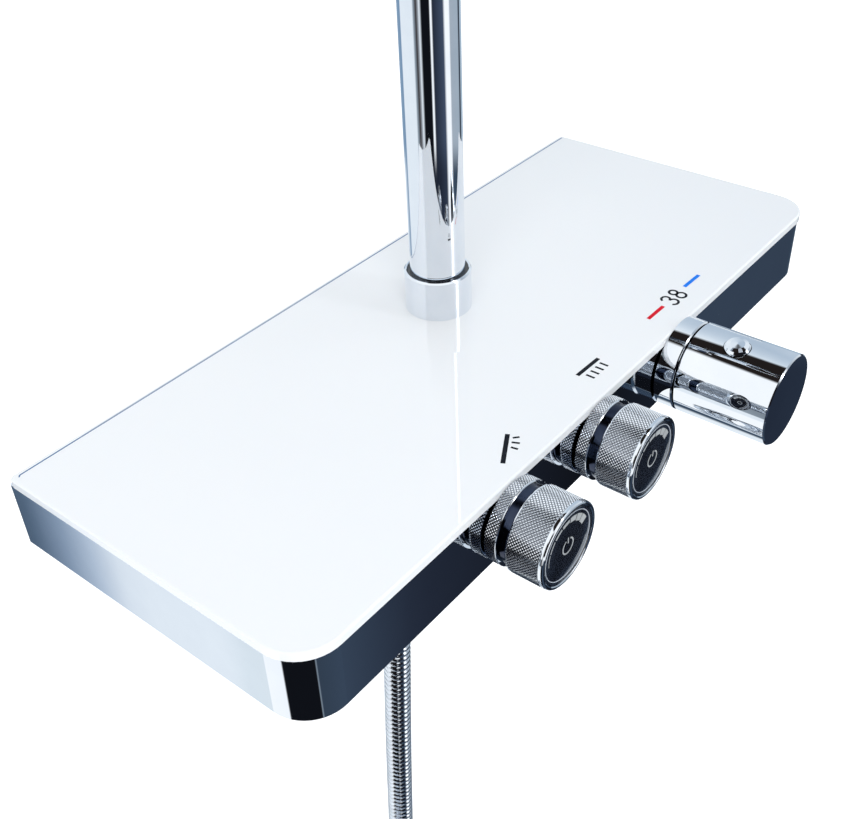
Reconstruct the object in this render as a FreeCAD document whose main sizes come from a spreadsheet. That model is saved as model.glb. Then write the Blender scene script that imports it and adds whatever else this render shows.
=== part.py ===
import FreeCAD, Part
import math
import os
import Sketcher

# Rain shower set with a glass shelf: thermostatic shelf mixer, riser with overhead
# shower, slider with hand-shower holder, hose and hand shower.
# Frame: wall plane at Y = 0, the set stands out towards -Y, Z up, X to the right seen
# from the front. The origin lies on the wall midway between the two water inlets.

doc = FreeCAD.newDocument("rain_shower_set")
V3 = FreeCAD.Vector
sheet = doc.addObject("Spreadsheet::Sheet", "Sizes")

SIZES = [
    # shelf
    ("shelf_len", 383.0, "glass length"),
    ("shelf_dep", 155.0, "glass depth"),
    ("glass_th", 4.0, "glass thickness"),
    ("glass_top", 19.2, "top of the glass above the valve axis"),
    ("shelf_high", 34.7, "glass top to underside of the shell"),
    ("overhang", 0.6, "glass past the shell"),
    ("corner_front", 18.3, "front corner radius of the glass"),
    ("corner_back", 2.5, "back corner radius of the glass"),
    ("wall_gap", 2.0, "wall to back edge of the glass"),
    ("shell_wall", 2.0, "wall of the chrome shell"),
    ("gasket_th", 0.6, "gasket under the glass"),
    ("cover_th", 2.0, "bottom cover thickness"),
    ("post_rad", 5.0, "screw post radius"),
    ("post_x", 185.0, "screw post offset from the middle"),
    ("post_back", 24.0, "rear posts from the wall"),
    ("post_front", 120.0, "front posts from the wall"),
    # water way
    ("bar_dep", 58.8, "valve bar and riser axis from the wall"),
    ("bar_rad", 12.5, "valve bar radius"),
    ("bar_half", 95.0, "half length of the valve bar"),
    ("bar_bore", 8.0, "bore of the valve bar"),
    ("boss_rad", 13.0, "valve housing radius"),
    ("nose_rad", 11.0, "threaded nose radius"),
    ("nose_len", 4.0, "nose in front of the fascia"),
    ("valve_bore", 8.5, "cartridge bore"),
    ("inlet_half", 71.0, "half spacing of the mixer inlets"),
    ("wall_half", 75.0, "half spacing of the wall threads"),
    ("inlet_rad", 10.0, "inlet spigot radius"),
    ("thread_rad", 10.4, "wall thread radius, G1/2"),
    ("thread_len", 11.5, "wall thread length"),
    ("inlet_drop", 3.0, "wall threads below the valve axis"),
    ("water_bore", 6.0, "water way bore"),
    ("nut_flats", 25.0, "union nut across flats"),
    ("outlet_x", -38.0, "hose outlet"),
    ("outlet_rad", 10.0, "hose outlet radius"),
    ("outlet_len", 26.0, "hose outlet below the valve axis"),
    # controls
    ("hand_x", -78.8, "hand-shower knob"),
    ("rain_x", -16.6, "rain knob"),
    ("thermo_x", 50.9, "thermostat handle"),
    ("knob_rad", 18.0, "knurled sleeve radius"),
    ("cap_rad", 18.3, "knurled cap radius"),
    ("knob_rear", 0.8, "sleeve rear face from the fascia"),
    ("groove_at", 6.4, "groove from the fascia"),
    ("cap_at", 10.4, "cap rear from the fascia"),
    ("knob_end", 27.0, "knob end from the fascia"),
    ("groove_rad", 16.6, "groove ring radius"),
    ("face_rad", 16.3, "knob face radius"),
    ("stem_rad", 3.1, "valve stem radius"),
    ("handle_rad", 20.9, "thermostat handle radius"),
    ("seam_at", 9.3, "handle seam from the fascia"),
    ("handle_end", 53.0, "handle end from the fascia"),
    ("spindle_rad", 4.0, "thermostat spindle radius"),
    ("button_rad", 5.6, "safety button radius"),
    ("button_at", 29.5, "safety button from the fascia"),
    ("button_turn", 11.0, "safety button off the top, towards the left"),
    # riser and overhead shower
    ("riser_x", 2.6, "riser axis"),
    ("riser_rad", 12.5, "lower riser radius"),
    ("riser_bore", 11.0, "lower riser bore"),
    ("riser_low", 22.6, "lower end of the riser"),
    ("riser_top", 455.0, "upper end of the lower riser"),
    ("spigot_rad", 9.0, "riser spigot radius"),
    ("spigot_top", 46.0, "riser spigot top"),
    ("collar_rad", 15.25, "riser collar radius"),
    ("collar_high", 19.2, "riser collar height"),
    ("arm_rad", 10.8, "upper tube radius"),
    ("arm_bore", 9.3, "upper tube bore"),
    ("arm_high", 850.0, "height of the arm"),
    ("arm_reach", 330.0, "overhead shower from the wall"),
    ("arm_bend", 70.0, "large bend radius"),
    ("arm_drop", 40.0, "small bend radius"),
    ("arm_end", 790.0, "lower end of the arm"),
    ("ball_rad", 9.0, "ball radius"),
    ("head_rad", 115.0, "overhead shower radius"),
    ("head_th", 8.0, "overhead shower thickness"),
    ("bracket_z", 600.0, "wall bracket height"),
    ("bracket_half", 12.0, "half spacing of the bracket screws"),
    ("slider_z", 330.0, "slider height"),
    ("slider_rad", 18.5, "slider radius"),
    ("slider_high", 46.0, "slider height along the riser"),
    # hose and hand shower
    ("hose_dia", 15.0, "hose diameter"),
    ("coil_rad", 87.0, "coil radius at the middle of the hose"),
    ("coil_x", -141.0, "coil centre"),
    ("coil_z", -392.0, "coil centre"),
    ("coil_pitch", 15.5, "one turn to the next"),
    ("hand_y", -89.8, "hand shower axis"),
    ("spray_z", -634.0, "hand shower head centre"),
    ("spray_rad", 46.0, "hand shower head radius"),
]


class Dim:
    """A size with both its number and the sheet expression that gives it."""

    def __init__(self, value, text):
        self.value = float(value)
        self.text = text

    @staticmethod
    def of(other):
        if isinstance(other, Dim):
            return other
        return Dim(other, "%.6f" % float(other) if other >= 0 else "(0 - %.6f)" % -float(other))

    def __add__(self, other):
        o = Dim.of(other)
        return Dim(self.value + o.value, "(%s + %s)" % (self.text, o.text))

    def __radd__(self, other):
        return Dim.of(other) + self

    def __sub__(self, other):
        o = Dim.of(other)
        return Dim(self.value - o.value, "(%s - %s)" % (self.text, o.text))

    def __rsub__(self, other):
        return Dim.of(other) - self

    def __mul__(self, other):
        o = Dim.of(other)
        return Dim(self.value * o.value, "(%s * %s)" % (self.text, o.text))

    __rmul__ = __mul__

    def __truediv__(self, other):
        o = Dim.of(other)
        return Dim(self.value / o.value, "(%s / %s)" % (self.text, o.text))

    def __neg__(self):
        return Dim(-self.value, "(0 - %s)" % self.text)


S = {}
for row, (alias, value, note) in enumerate(SIZES, start=2):
    sheet.set("A%d" % row, note)
    sheet.set("B%d" % row, "%g" % value)
    sheet.setAlias("B%d" % row, alias)
    S[alias] = Dim(value, "Sizes.%s" % alias)
doc.recompute()

NODES = []
TURN = {
    "z": FreeCAD.Rotation(),
    "down": FreeCAD.Rotation(V3(1, 0, 0), 180),
    "front": FreeCAD.Rotation(V3(1, 0, 0), 90),
    "wall": FreeCAD.Rotation(V3(1, 0, 0), -90),
    "right": FreeCAD.Rotation(V3(0, 1, 0), 90),
    "left": FreeCAD.Rotation(V3(0, 1, 0), -90),
}


def num(x):
    return x.value if isinstance(x, Dim) else float(x)


def bind(obj, prop, x):
    if isinstance(x, Dim):
        obj.setExpression(prop, x.text)
    else:
        setattr(obj, prop, float(x))


def place(obj, at, axis="z"):
    rot = TURN[axis] if isinstance(axis, str) else axis
    obj.Placement = FreeCAD.Placement(V3(*[num(c) for c in at]), rot)
    for name, c in zip("xyz", at):
        if isinstance(c, Dim):
            obj.setExpression("Placement.Base.%s" % name, c.text)


def node(obj, label):
    obj.Label = label
    NODES.append(obj)
    return obj


def plane(body, role):
    return [f for f in body.Origin.OriginFeatures if f.Role == role][0]


def sketch_on(body, role, name):
    sk = body.newObject("Sketcher::SketchObject", name)
    sk.AttachmentSupport = [(plane(body, role), "")]
    sk.MapMode = "FlatFace"
    return sk


def fix_point(sk, geo, pos, x, y):
    """Ties a sketch point to sheet sizes measured from the sketch origin."""
    if abs(num(x)) < 1e-9:
        sk.addConstraint(Sketcher.Constraint("PointOnObject", geo, pos, -2))
    else:
        i = sk.addConstraint(Sketcher.Constraint("DistanceX", -1, 1, geo, pos, num(x)))
        if isinstance(x, Dim):
            sk.setExpression("Constraints[%d]" % i, x.text)
    if abs(num(y)) < 1e-9:
        sk.addConstraint(Sketcher.Constraint("PointOnObject", geo, pos, -1))
    else:
        i = sk.addConstraint(Sketcher.Constraint("DistanceY", -1, 1, geo, pos, num(y)))
        if isinstance(y, Dim):
            sk.setExpression("Constraints[%d]" % i, y.text)


def polygon(sk, pts):
    n = len(pts)
    first = None
    for k in range(n):
        a, b = pts[k], pts[(k + 1) % n]
        g = sk.addGeometry(Part.LineSegment(V3(num(a[0]), num(a[1]), 0), V3(num(b[0]), num(b[1]), 0)), False)
        first = g if first is None else first
    for k in range(n):
        sk.addConstraint(Sketcher.Constraint("Coincident", first + k, 2, first + (k + 1) % n, 1))
    for k, p in enumerate(pts):
        fix_point(sk, first + k, 1, p[0], p[1])


def circles(sk, rows):
    for x, y, r in rows:
        g = sk.addGeometry(Part.Circle(V3(num(x), num(y), 0), V3(0, 0, 1), num(r)), False)
        i = sk.addConstraint(Sketcher.Constraint("Radius", g, num(r)))
        if isinstance(r, Dim):
            sk.setExpression("Constraints[%d]" % i, r.text)
        fix_point(sk, g, 3, x, y)


def turned(name, pts, at=(0, 0, 0), axis="z"):
    """A lathe-turned body: the closed profile (radius, length along the axis)."""
    body = doc.addObject("PartDesign::Body", name)
    sk = sketch_on(body, "XZ_Plane", name + "_profile")
    polygon(sk, pts)
    doc.recompute()
    rev = body.newObject("PartDesign::Revolution", name + "_turn")
    rev.Profile = sk
    rev.ReferenceAxis = (sk, ["V_Axis"])
    rev.Angle = 360.0
    body.Tip = rev
    place(body, at, axis)
    doc.recompute()
    return body


def edges_where(shape, test):
    names = []
    for i, e in enumerate(shape.Edges, start=1):
        if test(e):
            names.append("Edge%d" % i)
    return names


def upright_at(x, y):
    def test(e):
        a, b = e.Vertexes[0].Point, e.Vertexes[-1].Point
        return (len(e.Vertexes) == 2 and abs(a.x - b.x) < 1e-6 and abs(a.y - b.y) < 1e-6
                and abs(a.x - num(x)) < 1e-4 and abs(a.y - num(y)) < 1e-4)
    return test


def plate(name, wide, deep, high, at, front=None, back=None, holes=None, rim=None):
    """A flat plate padded from a rectangle, front edge along local y = 0, with rounded corners and holes."""
    body = doc.addObject("PartDesign::Body", name)
    sk = sketch_on(body, "XY_Plane", name + "_outline")
    polygon(sk, [(0, 0), (wide, 0), (wide, deep), (0, deep)])
    doc.recompute()
    pad = body.newObject("PartDesign::Pad", name + "_pad")
    pad.Profile = sk
    bind(pad, "Length", high)
    body.Tip = pad
    doc.recompute()
    last = pad
    for tag, radius, yy in (("front", front, 0), ("back", back, deep)):
        if radius is None:
            continue
        local = last.Shape
        fil = body.newObject("PartDesign::Fillet", "%s_%s" % (name, tag))
        fil.Base = (last, edges_where(local, upright_at(0, yy)) + edges_where(local, upright_at(wide, yy)))
        bind(fil, "Radius", radius)
        body.Tip = fil
        doc.recompute()
        last = fil
    if rim is not None:
        top = num(high)
        fil = body.newObject("PartDesign::Fillet", name + "_rim")
        fil.Base = (last, edges_where(last.Shape, lambda e: all(abs(v.Point.z - top) < 1e-5 for v in e.Vertexes)))
        bind(fil, "Radius", rim)
        body.Tip = fil
        doc.recompute()
        last = fil
    if holes:
        hs = sketch_on(body, "XY_Plane", name + "_holes")
        circles(hs, holes)
        doc.recompute()
        before = last.Shape.Volume
        poc = body.newObject("PartDesign::Pocket", name + "_drill")
        poc.Profile = hs
        poc.Type = 1
        poc.Reversed = True
        body.Tip = poc
        doc.recompute()
        if poc.Shape.Volume >= before - 1e-6:
            raise RuntimeError("holes cut nothing in " + name)
        last = poc
    place(body, at)
    doc.recompute()
    return body


def cyl(name, radius, length, at, axis="z"):
    c = doc.addObject("Part::Cylinder", name)
    bind(c, "Radius", radius)
    bind(c, "Height", length)
    place(c, at, axis)
    return c


def box(name, sizes, at):
    b = doc.addObject("Part::Box", name)
    for prop, v in zip(("Length", "Width", "Height"), sizes):
        bind(b, prop, v)
    place(b, at)
    return b


def fuse(name, parts):
    f = doc.addObject("Part::MultiFuse", name)
    f.Shapes = parts
    f.Refine = True
    doc.recompute()
    return f


def cut(name, base, tool):
    c = doc.addObject("Part::Cut", name)
    c.Base = base
    c.Tool = tool
    c.Refine = True
    doc.recompute()
    return c


def group(name, parts):
    g = doc.addObject("Part::Compound", name)
    g.Links = parts
    doc.recompute()
    return g


def solid(name, shape):
    f = doc.addObject("Part::Feature", name)
    f.Shape = shape
    return f


def ring(name, inner, outer, start, end, at, axis):
    return turned(name, [(inner, start), (outer, start), (outer, end), (inner, end)], at, axis)


# ---------------------------------------------------------------- derived sizes
L, D = S["shelf_len"], S["shelf_dep"]
ov, wall = S["overhang"], S["shell_wall"]
glass_low = S["glass_top"] - S["glass_th"]
shell_low = S["glass_top"] - S["shelf_high"]
shell_top = glass_low - S["gasket_th"]
glass_front = -(S["wall_gap"] + D)
fascia = glass_front + ov            # outer front face of the shell
inner_face = fascia + wall           # inner front face of the shell
bar_y = -S["bar_dep"]
cover_top = shell_low + S["cover_th"]

# ---------------------------------------------------------------- shelf
glass = plate("glass_plate", L, D, S["glass_th"], (-L / 2, glass_front, glass_low),
              front=S["corner_front"], back=S["corner_back"], rim=1.0,
              holes=[(L / 2 + S["riser_x"], bar_y - glass_front, S["spigot_rad"] + 1.6)])
node(glass, "glass_shelf")

shell_w, shell_d = L - 2 * ov, D - ov + S["wall_gap"]
shell_outer = plate("shell_outer", shell_w, shell_d, shell_top - shell_low,
                    (-L / 2 + ov, fascia, shell_low), front=S["corner_front"] - ov, back=1.2)
shell_inner = plate("shell_inner", shell_w - 2 * wall, shell_d, shell_top - shell_low + 20,
                    (-L / 2 + ov + wall, inner_face, shell_low - 10), front=S["corner_front"] - ov - wall)
band = cut("shell_band", shell_outer, shell_inner)
posts, post_holes = [], []
POSTS = [(sx, d) for sx in (-1, 1) for d in (S["post_back"], S["post_front"])]
for k, (sx, d) in enumerate(POSTS):
    posts.append(cyl("post_%d" % k, S["post_rad"], 22.0, (S["post_x"] * sx, -d, cover_top)))
    post_holes.append(cyl("post_hole_%d" % k, 1.5, 16.0, (S["post_x"] * sx, -d, cover_top)))
for k, x in enumerate((S["hand_x"], S["rain_x"], S["thermo_x"])):
    post_holes.append(cyl("fascia_hole_%d" % k, S["nose_rad"] + 0.25, 20.0, (x, inner_face + 8, 0), "front"))
shell = cut("shell_cut", fuse("shell_sum", [band] + posts), fuse("shell_tools", post_holes))
node(shell, "front_shell")

gasket_outer = plate("gasket_outer", L - 4, D - 3, S["gasket_th"], (-L / 2 + 2, glass_front + 2, shell_top),
                     front=S["corner_front"] - 2)
gasket_inner = plate("gasket_inner", L - 12, D - 3, 4.0, (-L / 2 + 6, glass_front + 6, shell_top - 2),
                     front=S["corner_front"] - 6)
node(cut("gasket", gasket_outer, gasket_inner), "glass_gasket")

cover_w, cover_d = shell_w - 2 * wall - 0.6, D - ov - wall - 0.6
cover_at = (-L / 2 + ov + wall + 0.3, inner_face + 0.3, shell_low)
cover = plate("cover_plate", cover_w, cover_d, S["cover_th"], cover_at,
              front=S["corner_front"] - ov - wall - 0.3,
              holes=[(S["post_x"] * sx - cover_at[0], -d - cover_at[1], 1.9) for sx, d in POSTS]
              + [(S["outlet_x"] - cover_at[0], bar_y - cover_at[1], S["outlet_rad"] + 0.6)])
node(cover, "bottom_cover")
node(group("cover_screw_set", [
    turned("cover_screw_%d" % k, [(0, 0), (3.2, 0), (3.2, 1.4), (1.45, 1.4), (1.45, 14.0), (0, 14.0)],
           (S["post_x"] * sx, -d, shell_low - 1.4)) for k, (sx, d) in enumerate(POSTS)]), "cover_screws")

wp_w, wp_h = shell_w - 2 * wall - 0.6, 29.0
wall_sheet = box("wall_sheet", (wp_w, S["wall_gap"], wp_h), (-L / 2 + ov + wall + 0.3, -S["wall_gap"], -15.2))
wp_tools = [cyl("wall_hole_%d" % k, 11.2, 10.0, (S["wall_half"] * sx, 5, -S["inlet_drop"]), "front") for k, sx in enumerate((-1, 1))]
wp_tools += [cyl("wall_screw_hole_%d" % k, 2.7, 10.0, (130.0 * sx, 5, -8.5), "front") for k, sx in enumerate((-1, 1))]
node(cut("wall_sheet_cut", wall_sheet, fuse("wall_sheet_tools", wp_tools)), "wall_plate")
node(group("wall_screw_set", [
    turned("wall_screw_%d" % k, [(0, 0), (4.5, 0), (4.5, 2.4), (2.5, 2.4), (2.5, 4.6), (2.2, 4.6), (2.2, 28.0), (0, 30.5)],
           (130.0 * sx, -S["wall_gap"] - 2.4, -8.5), "wall") for k, sx in enumerate((-1, 1))]), "wall_screws")

# ---------------------------------------------------------------- water way
boss_len = bar_y - inner_face
vb = [cyl("bar", S["bar_rad"], 2 * S["bar_half"], (-S["bar_half"], bar_y, 0), "right")]
vt = [cyl("bar_hole", S["bar_bore"], 2 * S["bar_half"] + 2, (-S["bar_half"] - 1, bar_y, 0), "right")]
for tag, x in (("hand", S["hand_x"]), ("rain", S["rain_x"]), ("thermo", S["thermo_x"])):
    vb.append(cyl(tag + "_boss", S["boss_rad"], boss_len, (x, bar_y, 0), "front"))
    vb.append(cyl(tag + "_nose", S["nose_rad"], boss_len + wall + S["nose_len"], (x, bar_y, 0), "front"))
    vt.append(cyl(tag + "_bore", S["valve_bore"], boss_len + wall + S["nose_len"], (x, bar_y - 6, 0), "front"))
for k, sx in enumerate((-1, 1)):
    vb.append(cyl("inlet_%d" % k, S["inlet_rad"], S["bar_dep"] - 38, (S["inlet_half"] * sx, bar_y, 0), "wall"))
    vt.append(cyl("inlet_hole_%d" % k, S["water_bore"], S["bar_dep"] - 37, (S["inlet_half"] * sx, bar_y, 0), "wall"))
vb.append(cyl("spigot", S["spigot_rad"], S["spigot_top"], (S["riser_x"], bar_y, 0)))
vt.append(cyl("spigot_hole", S["water_bore"], S["spigot_top"] + 1, (S["riser_x"], bar_y, 0)))
vb.append(cyl("outlet", S["outlet_rad"], S["outlet_len"], (S["outlet_x"], bar_y, 0), "down"))
vt.append(cyl("outlet_hole", S["water_bore"], S["outlet_len"] + 1, (S["outlet_x"], bar_y, 0), "down"))
node(cut("brass", fuse("brass_sum", vb), fuse("brass_tools", vt)), "valve_body")

plug = [(0, 0), (S["bar_bore"] - 0.05, 0), (S["bar_bore"] - 0.05, 6), (10.5, 6), (10.5, 9), (0, 9)]
node(group("plug_set", [turned("plug_r", plug, (S["bar_half"] - 6, bar_y, 0), "right"),
                        turned("plug_l", plug, (-(S["bar_half"] - 6), bar_y, 0), "left")]), "end_plugs")


def wall_union(tag, sx):
    thread = cyl(tag + "_thread", S["thread_rad"], S["thread_len"], (S["wall_half"] * sx, S["thread_len"], -S["inlet_drop"]), "front")
    shoulder = cyl(tag + "_shoulder", 10.2, 8.0, (S["wall_half"] * sx, 0, -S["inlet_drop"]), "front")
    waist = cyl(tag + "_waist", 7.8, 32.0, (S["inlet_half"] * sx, -5, 0), "front")
    flange = cyl(tag + "_flange", 9.6, 3.0, (S["inlet_half"] * sx, -34, 0), "front")
    outer = fuse(tag + "_outer", [thread, shoulder, waist, flange])
    bores = fuse(tag + "_bores", [cyl(tag + "_bore_a", 5.0, S["thread_len"] + 9, (S["wall_half"] * sx, S["thread_len"] + 1, -S["inlet_drop"]), "front"),
                                  cyl(tag + "_bore_b", 5.0, 34.0, (S["inlet_half"] * sx, -7, 0), "front")])
    return cut(tag, outer, bores)


node(wall_union("union_hot", -1), "hot_union")
node(wall_union("union_cold", 1), "cold_union")


def hexagon(name, flats, length, at, axis):
    """A hexagonal bar with two flats level, padded along its axis."""
    body = doc.addObject("PartDesign::Body", name)
    sk = sketch_on(body, "XY_Plane", name + "_hex")
    side = flats / math.sqrt(3.0)
    half = flats / 2
    pts = [(-side, 0), (-side / 2, -half), (side / 2, -half), (side, 0), (side / 2, half), (-side / 2, half)]
    shift = (flats, flats)
    polygon(sk, [(p[0] + shift[0], p[1] + shift[1]) for p in pts])
    doc.recompute()
    pad = body.newObject("PartDesign::Pad", name + "_pad")
    pad.Profile = sk
    bind(pad, "Length", length)
    body.Tip = pad
    doc.recompute()
    rot = TURN[axis]
    off = rot.multVec(V3(-num(flats), -num(flats), 0))
    place(body, (at[0] + off.x, at[1] + off.y, at[2] + off.z), axis)
    doc.recompute()
    return body


nuts = []
for k, sx in enumerate((-1, 1)):
    blank = hexagon("nut_blank_%d" % k, S["nut_flats"], 15.0, (S["inlet_half"] * sx, -31, 0), "front")
    hole = fuse("nut_holes_%d" % k, [cyl("nut_hole_a%d" % k, 8.1, 20.0, (S["inlet_half"] * sx, -28, 0), "front"),
                                     cyl("nut_hole_b%d" % k, S["inlet_rad"] + 0.05, 20.0, (S["inlet_half"] * sx, -34, 0), "front")])
    nuts.append(cut("nut_%d" % k, blank, hole))
node(group("nut_set", nuts), "union_nuts")
node(group("check_set", [
    turned("check_%d" % k, [(2.4, 0), (9.6, 0), (9.6, 1.0), (S["water_bore"] - 0.05, 1.0), (S["water_bore"] - 0.05, 9.0), (2.4, 9.0)],
           (S["inlet_half"] * sx, -37, 0), "front") for k, sx in enumerate((-1, 1))]), "inlet_check_valves")

# ---------------------------------------------------------------- cartridges and fascia nuts
cart_len = 88.0
cart_at = fascia + 90.0               # rear of the cartridges
for tag, x, r in (("hand", S["hand_x"], S["stem_rad"]), ("rain", S["rain_x"], S["stem_rad"]), ("thermo", S["thermo_x"], S["spindle_rad"])):
    c = turned(tag + "_cart", [(r + 0.08, 30), (r + 0.08, cart_len + 2), (S["valve_bore"] - 0.05, cart_len + 2),
                               (S["valve_bore"] - 0.05, 20), (6.0, 20), (6.0, 0), (0, 0), (0, 30)], (x, cart_at, 0), "front")
    node(c, tag + "_cartridge")
node(group("fascia_nut_set", [ring("fascia_nut_%d" % k, S["nose_rad"] + 0.05, 14.4, 0, 2.6, (x, fascia, 0), "front")
                              for k, x in enumerate((S["hand_x"], S["rain_x"], S["thermo_x"]))]), "fascia_nuts")

# ---------------------------------------------------------------- the two knobs
for tag, x in (("hand", S["hand_x"]), ("rain", S["rain_x"])):
    at = (x, fascia, 0)
    kr, web = S["knob_rear"], S["groove_at"] - 1.8
    sleeve = turned(tag + "_sleeve_body",
                    [(15.2, kr), (S["knob_rad"], kr), (S["knob_rad"], S["groove_at"]), (S["stem_rad"] + 0.1, S["groove_at"]),
                     (S["stem_rad"] + 0.1, web), (15.2, web)], at, "front")
    node(sleeve, tag + "_sleeve")
    node(ring(tag + "_ring_body", 12.6, S["groove_rad"], S["groove_at"], S["cap_at"] + 1.6, at, "front"), tag + "_groove_ring")
    end = S["knob_end"]
    cap = turned(tag + "_cap_body",
                 [(16.95, S["cap_at"]), (S["cap_rad"], S["cap_at"]), (S["cap_rad"], end - 0.7), (S["cap_rad"] - 0.7, end),
                  (S["face_rad"] + 0.1, end), (S["face_rad"] + 0.1, end - 1.9), (S["stem_rad"], end - 1.9),
                  (S["stem_rad"], end - 5.0), (16.95, end - 5.0)], at, "front")
    node(cap, tag + "_cap")
    node(turned(tag + "_face_body", [(0, end - 1.9), (S["face_rad"], end - 1.9), (S["face_rad"], end - 0.3), (0, end - 0.3)], at, "front"), tag + "_face")
    node(turned(tag + "_stem_body", [(0, -56), (S["stem_rad"], -56), (S["stem_rad"], end - 1.9), (0, end - 1.9)], at, "front"), tag + "_stem")
    # return spring between the sleeve and the cap
    low, high = num(S["groove_at"]) + 0.5, num(end) - 5.5
    turns = 5
    helix = Part.makeHelix((high - low) / turns, high - low, 7.5)
    start = V3(7.5, 0, 0)
    prof = Part.Wire([Part.Circle(start, V3(0, 1, 0), 0.5).toShape()])
    coil = Part.Wire(helix.Edges).makePipeShell([prof], True, True)
    sp = solid(tag + "_spring_body", coil)
    place(sp, (x, fascia - low, 0), "front")
    node(sp, tag + "_spring")

# ---------------------------------------------------------------- thermostat handle
at = (S["thermo_x"], fascia, 0)
base = turned("thermo_base_body",
              [(15.2, S["knob_rear"]), (S["handle_rad"] - 0.1, S["knob_rear"]), (S["handle_rad"] - 0.1, S["seam_at"] - 0.6), (S["handle_rad"] - 0.7, S["seam_at"]), (18.6, S["seam_at"]),
               (18.6, 5.6), (S["nose_rad"] + 0.05, 5.6), (S["nose_rad"] + 0.05, 3.0), (15.2, 3.0)], at, "front")
node(base, "thermo_base")
node(ring("stop_ring_body", 12.0, 16.5, 5.6, 9.0, at, "front"), "stop_ring")
he = S["handle_end"]
hs = S["seam_at"] + 0.4
handle_blank = turned("handle_blank",
                      [(18.4, hs), (S["handle_rad"] - 0.9, hs), (S["handle_rad"], hs + 0.9), (S["handle_rad"], he - 0.6), (S["handle_rad"] - 0.6, he),
                       (0, he), (0, he - 4.0), (S["spindle_rad"] + 0.02, he - 4.0), (S["spindle_rad"] + 0.02, 20.0), (8.0, 20.0), (8.0, he - 6.0), (18.4, he - 6.0)], at, "front")
# the safety button sits in a radial hole, turned a little to the left of the top
turn = num(S["button_turn"])
up = FreeCAD.Rotation(V3(0, 1, 0), -turn)
outward = up.multVec(V3(0, 0, 1))
b_at = (S["thermo_x"], fascia - S["button_at"], 0)
hole = cyl("button_hole", S["button_rad"] + 0.3, 30.0, (b_at[0] + outward.x * 10.0, b_at[1], outward.z * 10.0), up)
node(cut("handle_cut", handle_blank, hole), "thermo_handle")
node(turned("spindle_body", [(0, -58), (S["spindle_rad"], -58), (S["spindle_rad"], he - 4.0), (0, he - 4.0)], at, "front"), "thermo_spindle")
br = S["button_rad"]
bt = S["handle_rad"]
button = turned("button_body",
                [(0, 13.6), (br - 1.0, 13.6), (br - 1.0, 15.4), (br, 15.4), (br, bt + 0.3), (br * 0.86, bt + 1.3), (br * 0.55, bt + 2.0), (0, bt + 2.3)],
                b_at, up)
node(button, "safety_button")
helix = Part.makeHelix(1.5, 4.5, 3.0)
prof = Part.makePolygon([V3(2.7, 0, -0.3), V3(3.3, 0, -0.3), V3(3.3, 0, 0.3), V3(2.7, 0, 0.3), V3(2.7, 0, -0.3)])
coil = Part.Wire(helix.Edges).makePipeShell([prof], True, True)
sp = solid("safety_spring_body", coil)
place(sp, (b_at[0] + outward.x * 8.45, b_at[1], outward.z * 8.45), up)
node(sp, "safety_spring")

# ---------------------------------------------------------------- riser
rx = S["riser_x"]
node(turned("collar_body",
            [(S["spigot_rad"] + 0.6, 0), (S["collar_rad"], 0), (S["collar_rad"], S["collar_high"] - 0.7), (S["collar_rad"] - 0.6, S["collar_high"]), (S["collar_rad"] - 1.0, S["collar_high"]), (S["collar_rad"] - 1.3, S["collar_high"] - 0.3),
             (S["collar_rad"] - 1.3, S["collar_high"] - 2.6), (S["riser_rad"] + 0.05, S["collar_high"] - 2.6), (S["riser_rad"] + 0.05, S["riser_low"] - S["glass_top"]), (S["spigot_rad"] + 0.6, S["riser_low"] - S["glass_top"])],
            (rx, bar_y, S["glass_top"])), "riser_collar")
seals = []
for k, z in enumerate((28.0, 38.0)):
    t = doc.addObject("Part::Torus", "seal_%d" % k)
    t.Radius1 = 10.0
    t.Radius2 = 0.95
    place(t, (rx, bar_y, z))
    seals.append(t)
seals.append(ring("wiper", S["riser_rad"] + 0.06, S["collar_rad"] - 1.35, S["collar_high"] - 2.55, S["collar_high"] - 1.6, (rx, bar_y, S["glass_top"]), "z"))
node(group("seal_set", seals), "riser_seals")
node(ring("lower_riser_body", S["riser_bore"], S["riser_rad"], 0, S["riser_top"] - S["riser_low"], (rx, bar_y, S["riser_low"]), "z"), "lower_riser")
ct = S["riser_top"]
node(turned("coupling_body",
            [(S["riser_rad"] + 0.03, -16), (15.0, -16), (15.0, 9.0), (13.6, 10.4), (S["arm_rad"] + 0.03, 10.4), (S["arm_rad"] + 0.03, 0.2), (S["riser_rad"] + 0.03, 0.2)],
            (rx, bar_y, ct)), "riser_coupling")

x0, y0 = num(rx), num(bar_y)
zh, bend, drop = num(S["arm_high"]), num(S["arm_bend"]), num(S["arm_drop"])
reach, zend, zfoot = -num(S["arm_reach"]), num(S["arm_end"]), num(ct) - 60.0


def arc_edge(c, r, a0, a1):
    """An arc in the plane x = x0 through three points, angles from -Y towards +Z."""
    pts = [V3(x0, c[0] - r * math.cos(a), c[1] + r * math.sin(a)) for a in (a0, (a0 + a1) / 2, a1)]
    return Part.Arc(*pts).toShape()


q = math.pi / 2
arm_path = Part.Wire([
    Part.makeLine(V3(x0, y0, zfoot), V3(x0, y0, zh - bend)),
    arc_edge((y0 - bend, zh - bend), bend, 2 * q, q),
    Part.makeLine(V3(x0, y0 - bend, zh), V3(x0, reach + drop, zh)),
    arc_edge((reach + drop, zh - drop), drop, q, 0),
    Part.makeLine(V3(x0, reach, zh - drop), V3(x0, reach, zend)),
])


def tube(path, radius, start, along):
    return path.makePipeShell([Part.Wire([Part.Circle(start, along, radius).toShape()])], True, True)


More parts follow.
